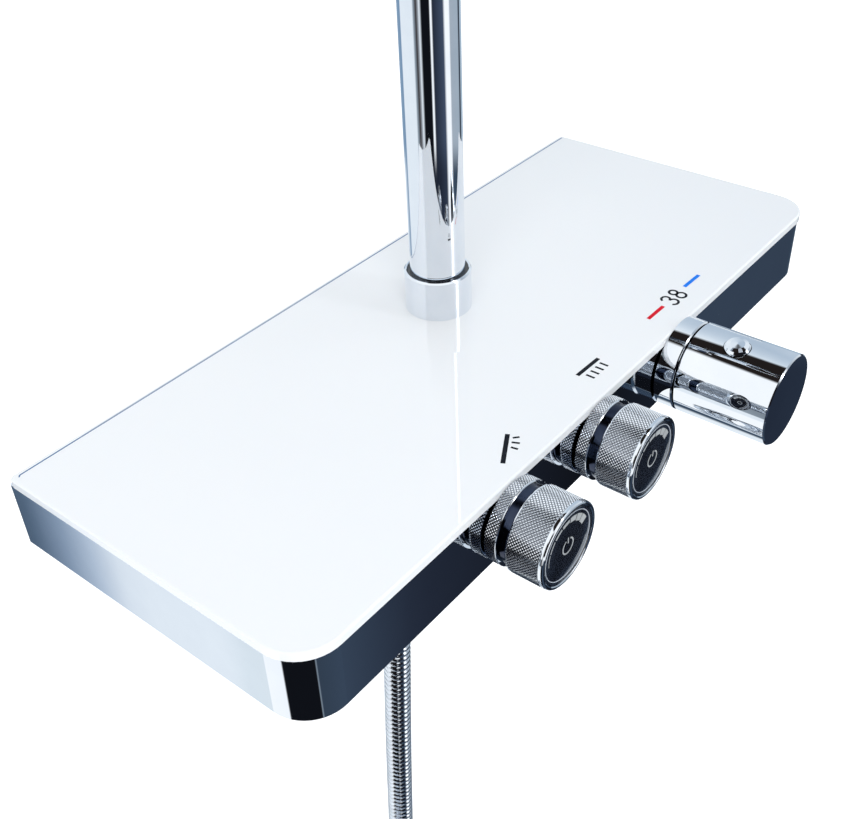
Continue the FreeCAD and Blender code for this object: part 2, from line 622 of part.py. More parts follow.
arm_outer = tube(arm_path, num(S["arm_rad"]), V3(x0, y0, zfoot), V3(0, 0, 1))
arm_inner = tube(arm_path, num(S["arm_bore"]), V3(x0, y0, zfoot), V3(0, 0, 1))
print("arm volume %.0f, by section %.0f" % (arm_outer.Volume, math.pi * num(S["arm_rad"]) ** 2 * arm_path.Length))
node(solid("arm_body", arm_outer.cut(arm_inner)), "upper_riser")

# wall bracket: a clip ring round the riser on a stem from the wall
bz = S["bracket_z"]
clip = cyl("clip_outer", 16.0, 22.0, (rx, bar_y, bz - 11))
stem = cyl("clip_stem", 8.0, S["bar_dep"] - 10, (rx, -2, bz), "front")
foot = cyl("clip_foot", 19.0, 4.0, (rx, 0, bz), "front")
br_tools = [cyl("clip_bore", S["arm_rad"] + 0.03, 40.0, (rx, bar_y, bz - 20))]
br_tools += [cyl("clip_screw_%d" % k, 2.4, 10.0, (rx + S["bracket_half"] * sx, 3, bz), "front") for k, sx in enumerate((-1, 1))]
node(cut("clip", fuse("clip_sum", [clip, stem, foot]), fuse("clip_tools", br_tools)), "bracket_arm")
node(group("bracket_screw_set", [
    turned("bracket_screw_%d" % k, [(0, 0), (4.0, 0), (4.0, 2.2), (2.3, 2.2), (2.3, 6.4), (2.0, 6.4), (2.0, 32.0), (0, 34.0)],
           (rx + S["bracket_half"] * sx, -6.2, bz), "wall") for k, sx in enumerate((-1, 1))]), "bracket_screws")
node(turned("rosette_body", [(19.3, 0), (25.0, 0), (25.0, 6.5), (22.5, 9.0), (8.1, 9.0), (8.1, 7.2), (19.3, 7.2)], (rx, 0, bz), "front"), "bracket_rosette")

# ---------------------------------------------------------------- overhead shower
ball_z = zend - 14.0
ball_at = (rx, -S["arm_reach"], ball_z)
nut_blank = turned("ball_nut_body",
                   [(S["arm_rad"] + 0.03, 26.0), (14.0, 26.0), (15.0, 25.0), (15.0, -4.5), (13.0, -6.5), (7.6, -6.5), (7.6, -2.0), (S["ball_rad"] + 0.4, 0), (S["ball_rad"] + 0.4, 12.0), (S["arm_rad"] + 0.03, 12.0)], ball_at)
seat_ball = doc.addObject("Part::Sphere", "seat_ball")
bind(seat_ball, "Radius", S["ball_rad"] + 0.15)
place(seat_ball, ball_at)
node(cut("ball_nut_cut", nut_blank, seat_ball), "ball_nut")
ball = doc.addObject("Part::Sphere", "ball_sphere")
bind(ball, "Radius", S["ball_rad"])
place(ball, ball_at)
neck = turned("ball_neck", [(0, -24.0), (13.0, -24.0), (13.0, -20.0), (5.4, -17.0), (5.4, 0), (0, 0)], ball_at)
node(fuse("ball_stud_sum", [ball, neck]), "ball_stud")
ht, hr = S["head_th"], S["head_rad"]
head = turned("head_body",
              [(0, -24.0), (hr - 2.0, -24.0), (hr, -26.0), (hr, -24.0 - ht), (hr - 2.5, -24.0 - ht), (hr - 2.5, -27.0), (0, -27.0)], ball_at)
node(head, "head_shell")
node(turned("spray_body", [(0, -22.4 - ht), (hr - 2.6, -22.4 - ht), (hr - 2.6, -24.4 - ht), (0, -24.4 - ht)], ball_at), "spray_plate")
noz = []
for i, (count, rad) in enumerate(((1, 0.0), (6, 18.0), (12, 36.0), (18, 54.0), (24, 72.0), (30, 90.0))):
    for j in range(count):
        a = 2 * math.pi * j / count
        c = doc.addObject("Part::Cone", "rain_noz_%d_%d" % (i, j))
        c.Radius1, c.Radius2, c.Height = 1.1, 1.7, 2.0
        place(c, (rx + rad * math.cos(a), -S["arm_reach"] + rad * math.sin(a), S["arm_end"] - 14.0 - 26.4 - ht))
        noz.append(c)
node(group("rain_noz_set", noz), "rain_nozzles")

# ---------------------------------------------------------------- slider with hand-shower holder
sz, sh = S["slider_z"], S["slider_high"]
s_ring = cyl("slider_ring", S["slider_rad"], sh, (rx, bar_y, sz - sh / 2))
s_boss = cyl("slider_boss", 10.0, 33.0, (rx, bar_y, sz), "front")
s_left = cyl("slider_left", 9.0, 24.0, (rx, bar_y, sz), "left")
s_bore = cyl("slider_bore", S["riser_rad"] + 0.08, sh + 4, (rx, bar_y, sz - sh / 2 - 2))
s_pin_hole = cyl("slider_pin_hole", 4.06, 16.0, (rx, bar_y - 18, sz), "front")
s_knob_hole = cyl("slider_knob_hole", 3.06, 14.0, (rx - 13, bar_y, sz), "left")
node(cut("slider_cut", fuse("slider_sum", [s_ring, s_boss, s_left]), fuse("slider_tools", [s_bore, s_pin_hole, s_knob_hole])), "slider_body")
node(turned("slider_knob_body", [(0, 0.6), (3.0, 0.6), (3.0, 11.3), (11.0, 11.3), (11.0, 22.0), (10.0, 23.0), (0, 23.0)], (rx - 13, bar_y, sz), "left"), "slider_knob")
cup_y = bar_y - 33.3 - 9.0 - 13.0
cup = turned("cup_cone", [(11.2, -17.0), (15.0, -17.0), (16.4, 17.0), (12.6, 17.0)], (rx, cup_y, sz))
cup_disc = cyl("cup_disc", 11.0, 10.0, (rx, bar_y - 33.3, sz), "front")
cup_pin = cyl("cup_pin", 4.0, 14.3, (rx, bar_y - 19.0, sz), "front")
cup_bore = doc.addObject("Part::Cone", "cup_bore")
cup_bore.Radius1, cup_bore.Radius2, cup_bore.Height = 11.2, 12.6, 34.0
place(cup_bore, (rx, cup_y, sz - 17.0))
cup_slot = box("cup_slot", (16.6, 20.0, 40.0), (rx - 8.3, cup_y - 24.0, sz - 20.0))
node(cut("cup_cut", fuse("cup_sum", [cup, cup_disc, cup_pin]), fuse("cup_tools", [cup_bore, cup_slot])), "holder_cup")

# ---------------------------------------------------------------- hose outlet, hose, coil and hand shower
ox = S["outlet_x"]
node(turned("mixer_nut_body",
            [(S["outlet_rad"] + 0.05, -18.0), (12.6, -18.0), (12.6, -31.0), (8.6, -40.0), (S["hose_dia"] / 2 + 0.25, -40.0), (S["hose_dia"] / 2 + 0.25, -28.0), (S["outlet_rad"] + 0.05, -28.0)],
            (ox, bar_y, 0)), "mixer_hose_nut")
node(ring("hose_washer_body", 5.0, 9.8, -27.9, -26.0, (ox, bar_y, 0), "z"), "hose_washer")

hr2 = num(S["hose_dia"]) / 2
cx, cz, cr = num(S["coil_x"]), num(S["coil_z"]), num(S["coil_rad"])
hy = num(bar_y)
ROUTE = [
    V3(-38.0, hy, -28.0),
    V3(-38.6, hy, -84.0),
    V3(-43.0, hy, -168.0),
    V3(-49.2, hy, -262.0),
    V3(cx + cr, hy, -362.0),
]


def rounded_route(points):
    """Straight runs joined by tangent arcs as large as the runs allow."""
    edges, last = [], points[0]
    for k in range(1, len(points) - 1):
        a, b, c = points[k - 1], points[k], points[k + 1]
        u, v = (a - b), (c - b)
        lu, lv = u.Length, v.Length
        u.normalize()
        v.normalize()
        half = (math.pi - u.getAngle(v)) / 2
        t = 0.45 * min(lu, lv)
        radius = t / math.tan(half)
        print("hose point %d: turn %.1f deg, radius %.0f mm" % (k, math.degrees(2 * half), radius))
        p, r = b + u * t, b + v * t
        mid_dir = (u + v)
        mid_dir.normalize()
        centre = b + mid_dir * (radius / math.cos(half))
        m = centre - mid_dir * radius
        edges.append(Part.makeLine(last, p))
        edges.append(Part.Arc(p, m, r).toShape())
        last = r
    edges.append(Part.makeLine(last, points[-1]))
    return Part.Wire(edges)


hose_path = rounded_route(ROUTE)
hose = tube(hose_path, hr2, ROUTE[0], ROUTE[1] - ROUTE[0])
print("hose volume %.0f, by section %.0f" % (hose.Volume, math.pi * hr2 ** 2 * hose_path.Length))
# two turns side by side, tied: one plain ring of their outer shape
cp = num(S["coil_pitch"])
y_near, y_far = hy + hr2 + 0.6, hy - 2 * cp - hr2 - 0.6
coil_ring = Part.makeCylinder(cr + hr2 + 0.6, y_near - y_far, V3(cx, y_near, cz), V3(0, -1, 0)).cut(
    Part.makeCylinder(cr - hr2 - 0.6, y_near - y_far + 2, V3(cx, y_near + 1, cz), V3(0, -1, 0)))
node(solid("hose_body", hose), "hose")
# the ring leaves room for the run that comes down into it and the end that hangs out of it
hy2 = S["hand_y"]
hose_end = Part.makeCylinder(hr2, 54.0, V3(cx + cr, num(hy2), cz - 20.0), V3(0, 0, -1))
node(solid("hose_coil_body", coil_ring.cut(hose).cut(hose_end)), "hose_coil")
node(solid("hose_end_body", hose_end), "hose_end")
tie_w = y_near - y_far
tie_outer = Part.makeBox(16.0, tie_w + 4.0, 2 * hr2 + 5.2, V3(cx - 8.0, y_far - 2.0, cz + cr - hr2 - 2.6))
tie_inner = Part.makeBox(20.0, tie_w + 0.4, 2 * hr2 + 1.4, V3(cx - 10.0, y_far - 0.2, cz + cr - hr2 - 0.9))
node(solid("tie_body", tie_outer.cut(tie_inner).cut(coil_ring)), "hose_tie")

tail = (S["coil_x"] + S["coil_rad"], hy2, S["coil_z"] - 72.0)
node(turned("cone_nut_body",
            [(7.6, 14.0), (8.6, 14.0), (12.4, -8.0), (12.4, -14.0), (10.05, -14.0), (10.05, -2.0), (7.6, -2.0)], tail), "hose_cone_nut")
grip = turned("grip_body",
              [(0, -3.0), (10.0, -3.0), (10.0, -14.2), (11.6, -14.2), (12.2, -40.0), (12.4, -80.0), (11.2, -112.0), (10.6, -125.9), (0, -125.9)], tail)
spray_y = hy2 + 2.0
disc = turned("spray_disc", [(0, -12.0), (S["spray_rad"] - 6.0, -12.0), (S["spray_rad"], -6.0), (S["spray_rad"], 12.0), (S["spray_rad"] - 2.0, 12.0), (S["spray_rad"] - 2.0, 9.0), (0, 9.0)],
              (S["coil_x"] + S["coil_rad"], spray_y, S["spray_z"]), "front")
node(fuse("hand_shower_sum", [grip, disc]), "hand_shower")
noz = [turned("hand_face_plate", [(0, 9.0), (S["spray_rad"] - 2.1, 9.0), (S["spray_rad"] - 2.1, 11.6), (0, 11.6)],
              (S["coil_x"] + S["coil_rad"], spray_y, S["spray_z"]), "front")]
for i, (count, rad) in enumerate(((1, 0.0), (6, 10.0), (12, 20.0), (18, 30.0))):
    for j in range(count):
        a = 2 * math.pi * j / count
        c = doc.addObject("Part::Cone", "hand_noz_%d_%d" % (i, j))
        c.Radius1, c.Radius2, c.Height = 1.5, 1.0, 1.6
        place(c, (S["coil_x"] + S["coil_rad"] + rad * math.cos(a), spray_y - 11.6, S["spray_z"] + rad * math.sin(a)), "front")
        noz.append(c)
node(fuse("hand_noz_sum", noz), "spray_face")

# ---------------------------------------------------------------- write
doc.recompute()
bad = [o.Label for o in doc.Objects if "Invalid" in o.State or "Error" in o.State]
if bad:
    raise RuntimeError("objects with errors: %s" % bad)
os.makedirs("parts", exist_ok=True)
for o in NODES:
    sh_ = o.Shape
    if sh_.isNull() or not sh_.isValid() or not sh_.Solids:
        raise RuntimeError("bad shape: " + o.Label)
    sh_.exportStep("parts/%s.step" % o.Label)
    bb = sh_.BoundBox
    print("%-18s solids %3d vol %10.1f  x %.1f..%.1f y %.1f..%.1f z %.1f..%.1f" % (
        o.Label, len(sh_.Solids), sh_.Volume, bb.XMin, bb.XMax, bb.YMin, bb.YMax, bb.ZMin, bb.ZMax))
print("nodes", len(NODES))
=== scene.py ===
import math

import bmesh
import bpy
from mathutils import Matrix, Vector


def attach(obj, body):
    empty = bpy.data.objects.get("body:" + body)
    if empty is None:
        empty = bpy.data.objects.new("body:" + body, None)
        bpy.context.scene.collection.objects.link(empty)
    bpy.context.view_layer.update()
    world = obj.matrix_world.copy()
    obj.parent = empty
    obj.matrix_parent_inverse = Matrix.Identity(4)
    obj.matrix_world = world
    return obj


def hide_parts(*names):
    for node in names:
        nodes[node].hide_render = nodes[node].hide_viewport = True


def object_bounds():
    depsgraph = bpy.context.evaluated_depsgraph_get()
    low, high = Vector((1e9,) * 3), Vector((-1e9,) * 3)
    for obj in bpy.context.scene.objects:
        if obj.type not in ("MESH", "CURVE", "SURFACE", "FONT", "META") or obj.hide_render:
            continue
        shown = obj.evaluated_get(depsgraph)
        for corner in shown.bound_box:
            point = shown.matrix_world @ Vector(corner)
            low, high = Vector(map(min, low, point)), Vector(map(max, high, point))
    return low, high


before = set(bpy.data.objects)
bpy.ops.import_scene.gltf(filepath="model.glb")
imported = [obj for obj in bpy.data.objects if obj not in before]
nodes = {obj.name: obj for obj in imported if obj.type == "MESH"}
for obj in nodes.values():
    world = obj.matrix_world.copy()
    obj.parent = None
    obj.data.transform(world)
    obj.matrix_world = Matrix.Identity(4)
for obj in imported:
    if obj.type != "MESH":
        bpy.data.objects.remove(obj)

scene = bpy.context.scene
cad_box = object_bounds()
MM = 0.001

# ------------------------------------------------------------------ camera
C = Vector((-0.335078, -0.334400, 0.289759))
R = Vector((0.62527, -0.77952, -0.03731))
U = Vector((0.49138, 0.35611, 0.79482))
F = Vector((0.60629, 0.51531, -0.60570))
cam_data = bpy.data.cameras.new("photo_camera")
cam_data.sensor_fit = "HORIZONTAL"
cam_data.sensor_width = 36.0
cam_data.lens = 46.856
cam_data.clip_start = 0.01
cam_data.clip_end = 50.0
cam = bpy.data.objects.new("photo_camera", cam_data)
scene.collection.objects.link(cam)
cam.matrix_world = Matrix((
    (R.x, U.x, -F.x, C.x),
    (R.y, U.y, -F.y, C.y),
    (R.z, U.z, -F.z, C.z),
    (0, 0, 0, 1)))
scene.camera = cam
scene.view_settings.view_transform = "Standard"


# ------------------------------------------------------------------ materials
def material(name):
    m = bpy.data.materials.new(name)
    m.use_nodes = True
    nt = m.node_tree
    return m, nt, nt.nodes["Principled BSDF"]


def link(nt, a, out, b, inp):
    nt.links.new(a.outputs[out], b.inputs[inp])


def noise(nt, scale, detail=3.0, rough=0.5, stretch=(1, 1, 1)):
    tc = nt.nodes.new("ShaderNodeTexCoord")
    mp = nt.nodes.new("ShaderNodeMapping")
    mp.inputs["Scale"].default_value = stretch
    nz = nt.nodes.new("ShaderNodeTexNoise")
    nz.inputs["Scale"].default_value = scale
    nz.inputs["Detail"].default_value = detail
    nz.inputs["Roughness"].default_value = rough
    link(nt, tc, "Object", mp, "Vector")
    link(nt, mp, "Vector", nz, "Vector")
    return nz


def spread(nt, source, low, high, start=0.3, stop=0.7):
    mr = nt.nodes.new("ShaderNodeMapRange")
    mr.inputs["From Min"].default_value = start
    mr.inputs["From Max"].default_value = stop
    mr.inputs["To Min"].default_value = low
    mr.inputs["To Max"].default_value = high
    link(nt, source, 0, mr, "Value")
    return mr


def tint(nt, source, dark, light, start=0.3, stop=0.7, out=0):
    cr = nt.nodes.new("ShaderNodeValToRGB")
    cr.color_ramp.elements[0].position = start
    cr.color_ramp.elements[0].color = (*dark, 1)
    cr.color_ramp.elements[1].position = stop
    cr.color_ramp.elements[1].color = (*light, 1)
    link(nt, source, out, cr, "Fac")
    return cr


def bump(nt, p, source, strength, distance):
    b = nt.nodes.new("ShaderNodeBump")
    b.inputs["Strength"].default_value = strength
    b.inputs["Distance"].default_value = distance
    link(nt, source, 0, b, "Height")
    link(nt, b, "Normal", p, "Normal")


def metal(name, dark, light, rough, wave=0.0, scale=55.0, stretch=(1, 1, 1)):
    m, nt, p = material(name)
    p.inputs["Metallic"].default_value = 1.0
    n1 = noise(nt, scale, 4.0, 0.55, stretch)
    link(nt, tint(nt, n1, dark, light), "Color", p, "Base Color")
    n2 = noise(nt, scale * 9.0, 2.0, 0.5, stretch)
    link(nt, spread(nt, n2, rough * 0.7, rough * 1.4), "Result", p, "Roughness")
    if wave:
        bump(nt, p, n1, 0.25, wave)
    return m


def plastic(name, dark, light, rough, coat=0.0, grain=0.00002, scale=400.0, gloss=0.5):
    m, nt, p = material(name)
    n1 = noise(nt, scale * 0.2, 3.0)
    link(nt, tint(nt, n1, dark, light), "Color", p, "Base Color")
    n2 = noise(nt, scale, 3.0)
    link(nt, spread(nt, n2, rough * 0.75, rough * 1.3), "Result", p, "Roughness")
    p.inputs["Specular IOR Level"].default_value = gloss
    p.inputs["Coat Weight"].default_value = coat
    p.inputs["Coat Roughness"].default_value = 0.03
    if grain:
        bump(nt, p, n2, 0.3, grain)
    return m


CHROME = metal("chrome", (0.78, 0.82, 0.87), (0.85, 0.88, 0.92), 0.025, wave=0.000004)
CHROME_FASCIA = metal("chrome_fascia", (0.76, 0.80, 0.86), (0.82, 0.86, 0.91), 0.03, wave=0.00002, scale=28.0)


def knurl_material():
    """Polished crests with painted shade in the valleys between them, standing in for the inter-reflection there, with
    some grime: the crest height is a value stored on the mesh.
    """
    m, nt, p = material("chrome_knurl_valley_shade")
    p.inputs["Metallic"].default_value = 1.0
    at = nt.nodes.new("ShaderNodeAttribute")
    at.attribute_name = "crest"
    # painted valley shade: low crest values get a dark base colour, high crests a bright one
    link(nt, tint(nt, at, (0.13, 0.15, 0.19), (0.92, 0.95, 0.99), 0.12, 0.62, "Fac"), "Color", p, "Base Color")
    n2 = noise(nt, 900.0, 2.0)
    link(nt, spread(nt, n2, 0.10, 0.20), "Result", p, "Roughness")
    return m


KNURL = knurl_material()
HOSE = metal("hose_sheath", (0.66, 0.70, 0.76), (0.80, 0.84, 0.89), 0.10, scale=120.0)
STEEL = metal("plain_steel", (0.45, 0.46, 0.48), (0.62, 0.63, 0.65), 0.32, wave=0.00002, scale=90.0, stretch=(1, 1, 6))
BRASS = metal("machined_brass", (0.52, 0.36, 0.13), (0.70, 0.52, 0.22), 0.25, wave=0.00002, scale=80.0)
BLACK_GLOSS = plastic("black_gloss", (0.006, 0.008, 0.013), (0.013, 0.016, 0.024), 0.05, coat=1.0, grain=0.0)
DARK_CHROME = metal("dark_chrome", (0.018, 0.024, 0.045), (0.045, 0.058, 0.095), 0.10, scale=90.0)
BLACK_SATIN = plastic("black_satin", (0.008, 0.008, 0.011), (0.016, 0.017, 0.021), 0.22, coat=0.4)
BLACK_SOFT = plastic("black_moulded", (0.016, 0.017, 0.019), (0.030, 0.031, 0.034), 0.45, grain=0.00005)
RUBBER = plastic("silicone", (0.10, 0.105, 0.115), (0.15, 0.155, 0.165), 0.55, grain=0.00004)
WHITE_PLASTIC = plastic("white_moulded", (0.72, 0.72, 0.70), (0.82, 0.82, 0.80), 0.4, grain=0.00003)
SPRAY = plastic("spray_grey", (0.42, 0.44, 0.47), (0.50, 0.52, 0.55), 0.3, coat=0.3)
GREY_PRINT = plastic("grey_print", (0.33, 0.35, 0.36), (0.42, 0.44, 0.45), 0.4, grain=0.0)
LINE_PRINT = plastic("line_print", (0.40, 0.44, 0.50), (0.52, 0.56, 0.62), 0.25, grain=0.0)
BLACK_PRINT = plastic("black_print", (0.004, 0.005, 0.010), (0.008, 0.010, 0.016), 0.5, grain=0.0, gloss=0.12)
RED_PRINT = plastic("red_print", (0.62, 0.002, 0.014), (0.74, 0.004, 0.024), 0.5, grain=0.0, gloss=0.12)
BLUE_PRINT = plastic("blue_print", (0.006, 0.20, 0.86), (0.010, 0.26, 0.98), 0.5, grain=0.0, gloss=0.12)
STRAP = plastic("tie_strap", (0.010, 0.010, 0.012), (0.028, 0.028, 0.031), 0.75, grain=0.0002, scale=900.0)


def glass_material():
    m, nt, p = material("white_glass")
    n1 = noise(nt, 6.0, 2.0)
    link(nt, tint(nt, n1, (0.875, 0.895, 0.915), (0.905, 0.920, 0.935)), "Color", p, "Base Color")
    n2 = noise(nt, 300.0, 2.0)
    link(nt, spread(nt, n2, 0.02, 0.05), "Result", p, "Roughness")
    p.inputs["IOR"].default_value = 1.5
    p.inputs["Coat Weight"].default_value = 0.6
    p.inputs["Coat Roughness"].default_value = 0.015
    p.inputs["Subsurface Weight"].default_value = 0.08
    p.inputs["Subsurface Radius"].default_value = (0.004, 0.005, 0.006)
    return m


GLASS = glass_material()

CAD_LOOK = {
    "glass_shelf": GLASS, "front_shell": CHROME_FASCIA,
    "glass_gasket": RUBBER, "riser_seals": BLACK_SATIN, "hose_washer": RUBBER, "rain_nozzles": RUBBER,
    "bottom_cover": BLACK_SOFT, "stop_ring": BLACK_SOFT,
    "hand_groove_ring": DARK_CHROME, "rain_groove_ring": DARK_CHROME,
    "wall_plate": STEEL, "cover_screws": STEEL, "wall_screws": STEEL, "bracket_screws": STEEL,
    "hand_spring": STEEL, "rain_spring": STEEL, "safety_spring": STEEL, "union_nuts": STEEL,
    "valve_body": BRASS, "end_plugs": BRASS, "hot_union": BRASS, "cold_union": BRASS,
    "hand_stem": BRASS, "rain_stem": BRASS, "thermo_spindle": BRASS,
    "inlet_check_valves": WHITE_PLASTIC, "hand_cartridge": WHITE_PLASTIC,
    "rain_cartridge": WHITE_PLASTIC, "thermo_cartridge": WHITE_PLASTIC,
    "spray_plate": SPRAY, "spray_face": SPRAY,
}
for name, obj in nodes.items():
    obj.data.materials.clear()
    obj.data.materials.append(CAD_LOOK.get(name, CHROME))


# ------------------------------------------------------------------ mesh helpers
def finish_mesh(name, bm, mats, body, smooth=None):
    bmesh.ops.recalc_face_normals(bm, faces=bm.faces)
    me = bpy.data.meshes.new(name)
    bm.to_mesh(me)
    bm.free()
    obj = bpy.data.objects.new(name, me)
    scene.collection.objects.link(obj)
    for m in mats if isinstance(mats, (list, tuple)) else [mats]:
        me.materials.append(m)
    if smooth is not None:
        for p in me.polygons:
            p.use_smooth = True
        me.set_sharp_from_angle(angle=math.radians(smooth))
    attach(obj, body)
    return obj


def lathe(bm, profile, at, turn, steps, mat=None):
    """Turns (radius, along) points in mm round an axis. at is the axis origin, turn the rotation from +Z to the axis.
    A radius can be a function of the angle. The profile is closed."""
    rings = []
    for rad, along in profile:
        row = []
        for k in range(steps):
            a = 2 * math.pi * k / steps
            r = rad(a) if callable(rad) else rad
            v = turn @ Vector((r * math.cos(a), r * math.sin(a), along))
            row.append(bm.verts.new(Vector(at) + v * MM))
        rings.append(row)
    n = len(rings)
    for i in range(n):
        a, b = rings[i], rings[(i + 1) % n]
        for k in range(steps):
            q = (k + 1) % steps
            f = bm.faces.new((a[k], a[q], b[q], b[k]))
            if mat:
                f.material_index = mat(i)
    return rings


FRONT = Matrix.Rotation(math.pi / 2, 3, "X")      # +Z of the profile points to the front, -Y
FASCIA_Y = -0.1564


def knurl(radius, depth, count, pitch, z):
    """Outline of a diamond knurl at one station along the axis."""
    def at(angle):
        u = count * angle / (2 * math.pi)
        a, b = (u + z / pitch) % 1.0, (u - z / pitch) % 1.0
        h = min(1 - abs(2 * a - 1), 1 - abs(2 * b - 1))
        return radius - depth * (1 - min(h / 0.82, 1.0))
    return at


COUNT, PITCH, PER = 78, 1.45, 6


def knurled(name, x, body, before, after, radius, start, stop, node):
    """A closed turned piece whose outside from start to stop is knurled."""
    bm = bmesh.new()
    n = max(int(round((stop - start) / PITCH * PER)), 2)
    band = [(knurl(radius, 0.42, COUNT, PITCH, start + (stop - start) * k / n), start + (stop - start) * k / n) for k in range(n + 1)]
    profile = before + band + after
    lo, hi = len(before), len(before) + n
    lathe(bm, profile, (x, FASCIA_Y, 0), FRONT, COUNT * PER, mat=lambda i: 1 if lo <= i < hi else 0)
    obj = finish_mesh(name, bm, [CHROME, KNURL], body, smooth=24)
    # crest height per vertex; the knurl material turns it into painted shade in the valleys
    crest = obj.data.attributes.new("crest", "FLOAT", "POINT")
    for v in obj.data.vertices:
        r = math.hypot(v.co.x - x, v.co.z) / MM
        crest.data[v.index].value = min(max((r - radius + 0.42) / 0.42, 0.0), 1.0)
    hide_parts(node)
    return obj


def flat_print_and_shade(name, outlines, mat, body, height):
    """Thin printed shapes and painted shade strips: closed outlines in the row frame (m) and the direction of their
    thickness.
    """
    bm = bmesh.new()
    lift = Vector(height)
    for pts in outlines:
        low = [bm.verts.new(Vector(p)) for p in pts]
        high = [bm.verts.new(Vector(p) + lift) for p in pts]
        bm.faces.new(high)
        bm.faces.new(list(reversed(low)))
        for k in range(len(pts)):
            q = (k + 1) % len(pts)
            bm.faces.new((low[k], low[q], high[q], high[k]))
    return finish_mesh(name, bm, mat, body)


def arc_band(r0, r1, a0, a1, steps):
    """Closed outline of a ring sector, angles in degrees from the right, anticlockwise seen from the front."""
    out = [(r1 * math.cos(math.radians(a0 + (a1 - a0) * k / steps)), r1 * math.sin(math.radians(a0 + (a1 - a0) * k / steps))) for k in range(steps + 1)]
    inn = [(r0 * math.cos(math.radians(a1 + (a0 - a1) * k / steps)), r0 * math.sin(math.radians(a1 + (a0 - a1) * k / steps))) for k in range(steps + 1)]
    return out + inn


# ------------------------------------------------------------------ hose: one smooth line through run, coil and end
HY = -0.0588
CX, CZ, CR = -0.141, -0.392, 0.087
HAND_Y = -0.0898
ROUTE = [
    (-0.0380, HY, -0.028),
    (-0.0386, HY, -0.084),
    (-0.0430, HY, -0.168),
    (-0.0492, HY, -0.262),
    (CX + CR, HY, -0.362),
]
TURN_POINTS = 16
SWELL = 1.0 / 0.987            # the line runs a little inside its control points
coil = []
for k in range(1, 2 * TURN_POINTS):
    a = 2 * math.pi * k / TURN_POINTS
    t = k / (2 * TURN_POINTS)
    coil.append((CX + CR * SWELL * math.cos(a), HY + (HAND_Y - HY) * t, CZ - CR * SWELL * math.sin(a)))
TAIL = [(CX + CR, HAND_Y, CZ - 0.004), (CX + CR, HAND_Y, CZ - 0.034), (CX + CR, HAND_Y, CZ - 0.074)]
points = ROUTE + coil + TAIL

line_data = bpy.data.curves.new("hose_line", "CURVE")
line_data.dimensions = "3D"
spline = line_data.splines.new("NURBS")
spline.points.add(len(points) - 1)
for p, q in zip(spline.points, points):
    p.co = (*q, 1.0)
spline.order_u = 3
spline.use_endpoint_u = True
spline.resolution_u = 24
line_data.resolution_u = 24
line = bpy.data.objects.new("hose_line", line_data)
scene.collection.objects.link(line)
bpy.context.view_layer.update()
line_mesh = bpy.data.meshes.new_from_object(line)
path = [tuple(v.co) for v in line_mesh.vertices]
bpy.data.objects.remove(line)
bpy.data.meshes.remove(line_mesh)


def spiral_tube(name, path, radius, pitch, per, around):
    """A spiral metal sheath along a line: rounded ridges that climb one pitch for each turn."""
    pts = [Vector(p) for p in path]
    run = [0.0]
    for a, b in zip(pts, pts[1:]):
        run.append(run[-1] + (b - a).length)
    total = run[-1]
    n = int(total / pitch * per)
    bm = bmesh.new()
    seg, side, rings = 0, None, []
    for i in range(n + 1):
        s = total * i / n
        while seg < len(run) - 2 and run[seg + 1] < s:
            seg += 1
        f = (s - run[seg]) / max(run[seg + 1] - run[seg], 1e-9)
        c = pts[seg].lerp(pts[seg + 1], min(max(f, 0.0), 1.0))
        d0 = (pts[seg + 1] - pts[seg]).normalized()
        d1 = (pts[min(seg + 2, len(pts) - 1)] - pts[seg + 1])
        d = d0.lerp(d1.normalized(), f * 0.5) if d1.length > 1e-9 else d0
        d.normalize()
        if side is None:
            side = d.orthogonal().normalized()
        side = (side - d * side.dot(d)).normalized()
        up = d.cross(side)
        row = []
        for k in range(around):
            a = 2 * math.pi * k / around
            t = (s / pitch + k / around) % 1.0
            r = radius - 0.00105 * abs(2 * t - 1) ** 2.6
            row.append(bm.verts.new(c + (side * math.cos(a) + up * math.sin(a)) * r))
        rings.append(row)
    for a, b in zip(rings, rings[1:]):
        for k in range(around):
            q = (k + 1) % around
            bm.faces.new((a[k], a[q], b[q], b[k]))
    bm.faces.new(list(reversed(rings[0])))
    bm.faces.new(rings[-1])
    return bm, total


bm, hose_len = spiral_tube("hose_sheath", path, 0.0075, 0.00357, 8, 40)
hose = finish_mesh("hose_sheath", bm, HOSE, "base", smooth=60)
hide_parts("hose", "hose_coil", "hose_end")


